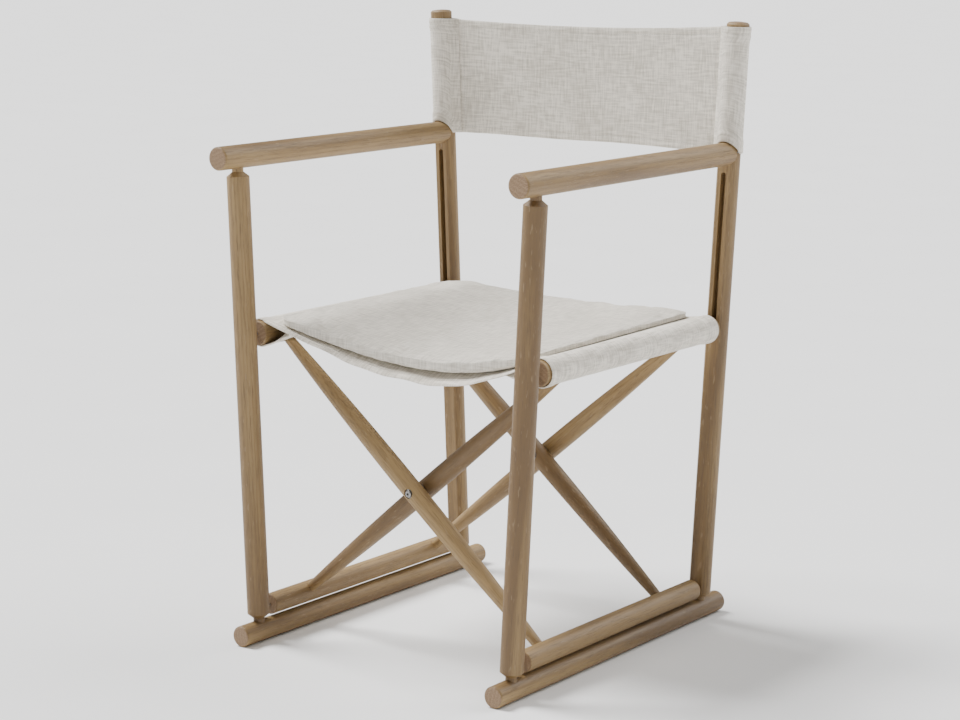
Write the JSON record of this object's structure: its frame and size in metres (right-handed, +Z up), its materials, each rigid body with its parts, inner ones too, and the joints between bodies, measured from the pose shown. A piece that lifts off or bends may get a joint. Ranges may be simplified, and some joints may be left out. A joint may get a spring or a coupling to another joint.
{
  "type": "folding armchair",
  "caption": "Folding armchair of turned oak bars on floor runners, with scissor legs under a hanging canvas seat and pad, and a canvas back.",
  "frame": {"origin": "on the floor under the middle of the chair's bounding box", "axes": "+Z up, the front faces -Y, +X to the right as seen from the front"},
  "size_m": [0.5556, 0.57, 0.8735],
  "materials": {
    "oak": "satin oiled",
    "steel": "satin",
    "canvas": "woven linen canvas",
    "pad": "woven linen canvas over wadding"
  },
  "bodies": {
    "side_right": {"front_leg_right": "oak", "rear_leg_right": "oak", "runner_right": "oak", "armrest_right": "oak", "armrest_lock_pin_right": "steel"},
    "side_left": {"front_leg_left": "oak", "rear_leg_left": "oak", "runner_left": "oak", "armrest_left": "oak", "armrest_lock_pin_left": "steel"},
    "scissor_a": {"seat_rail_left": "oak", "bottom_rail_right": "oak", "front_bar_a": "oak", "rear_bar_a": "oak", "guide_pins_left": "steel", "pivot_pins_right": "steel", "crossing_bolts": "steel", "crossing_sleeve_nuts": "steel", "crossing_washers": "steel", "crossing_spacers": "steel"},
    "scissor_b": {"seat_rail_right": "oak", "bottom_rail_left": "oak", "front_bar_b": "oak", "rear_bar_b": "oak", "guide_pins_right": "steel", "pivot_pins_left": "steel"},
    "seat_left": {"seat_canvas_left": "canvas", "seat_pad_left": "pad"},
    "seat_right": {"seat_canvas_right": "canvas", "seat_pad_right": "pad"},
    "back_left": {"back_canvas_left": "canvas"},
    "back_right": {"back_canvas_right": "canvas"}
  },
  "joints": [
    {"name": "fold", "type": "hinge", "parent": "side_right", "child": "scissor_a", "pos_m": [0.22099, -0.0055, 0.04764], "axis": [0, 1, 0], "range_deg": [0, 36.8]},
    {"name": "crossing", "type": "hinge", "parent": "scissor_a", "child": "scissor_b", "pos_m": [0, -0.0055, 0.23511], "axis": [0, 1, 0], "range_deg": [-69.5, 0]},
    {"name": "left_pivot", "type": "hinge", "parent": "scissor_b", "child": "side_left", "pos_m": [-0.22099, -0.0055, 0.04764], "axis": [0, 1, 0], "range_deg": [0, 37.2]},
    {"name": "seat_turn_left", "type": "hinge", "parent": "scissor_a", "child": "seat_left", "pos_m": [-0.23976, -0.0055, 0.43849], "axis": [0, 1, 0], "range_deg": [0, 36.2], "deforming": ["seat_canvas_left", "seat_pad_left"]},
    {"name": "seat_turn_right", "type": "hinge", "parent": "scissor_b", "child": "seat_right", "pos_m": [0.23976, -0.0055, 0.43849], "axis": [0, 1, 0], "range_deg": [-36.2, 0], "deforming": ["seat_canvas_right", "seat_pad_right"]},
    {"name": "back_turn_left", "type": "hinge", "parent": "side_left", "child": "back_left", "pos_m": [-0.25595, 0.2335, 0.77561], "axis": [-0.048, 0, 0.9988], "range_deg": [0, 68], "deforming": ["back_canvas_left"]},
    {"name": "back_turn_right", "type": "hinge", "parent": "side_right", "child": "back_right", "pos_m": [0.25595, 0.2335, 0.77561], "axis": [0.048, 0, 0.9988], "range_deg": [-68, 0], "deforming": ["back_canvas_right"]}
  ],
  "couplings": [
    {"joint": "crossing", "follows": "fold", "ratio": -1.8775},
    {"joint": "left_pivot", "follows": "fold", "ratio": 1},
    {"joint": "seat_turn_left", "follows": "fold", "ratio": 0.96},
    {"joint": "seat_turn_right", "follows": "fold", "ratio": -0.96},
    {"joint": "back_turn_left", "follows": "fold", "ratio": 1.826},
    {"joint": "back_turn_right", "follows": "fold", "ratio": -1.826}
  ]
}
